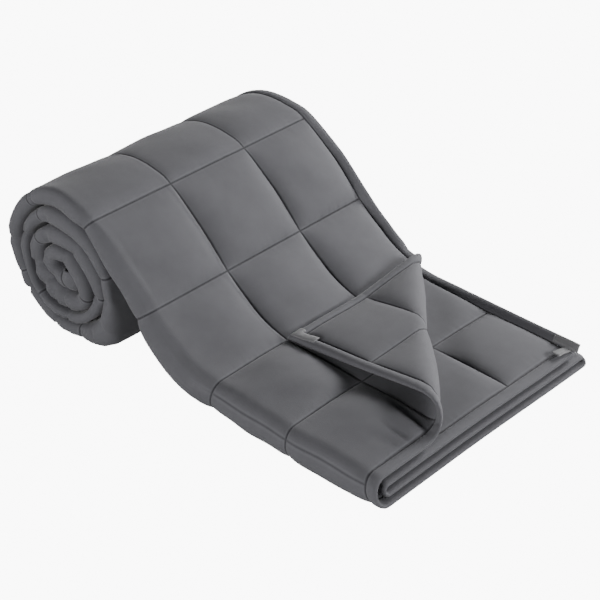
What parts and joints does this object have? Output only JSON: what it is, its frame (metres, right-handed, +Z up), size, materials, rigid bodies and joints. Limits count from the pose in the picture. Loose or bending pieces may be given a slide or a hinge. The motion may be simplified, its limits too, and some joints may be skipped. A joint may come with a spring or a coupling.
{
  "type": "weighted blanket",
  "caption": "Square-quilted weighted blanket, folded across its width and rolled from one end, with its open end lying flat and one corner turned back.",
  "frame": {"origin": "on the surface that the blanket lies on, under the middle of its folded and rolled outline", "axes": "+X along the pack from the roll to the open end, +Y towards the side where the corner's loops are, +Z up"},
  "size_m": [0.6125, 0.3956, 0.1949],
  "materials": {
    "quilt_cloth": "smooth brushed microfibre, dark grey, soft sheen",
    "corner_tape": "ribbed woven tape, dark grey, matt"
  },
  "bodies": {
    "root": {"quilt": "quilt_cloth", "loop_turned_corner": "corner_tape", "loop_second_layer": "corner_tape"}
  },
  "joints": []
}
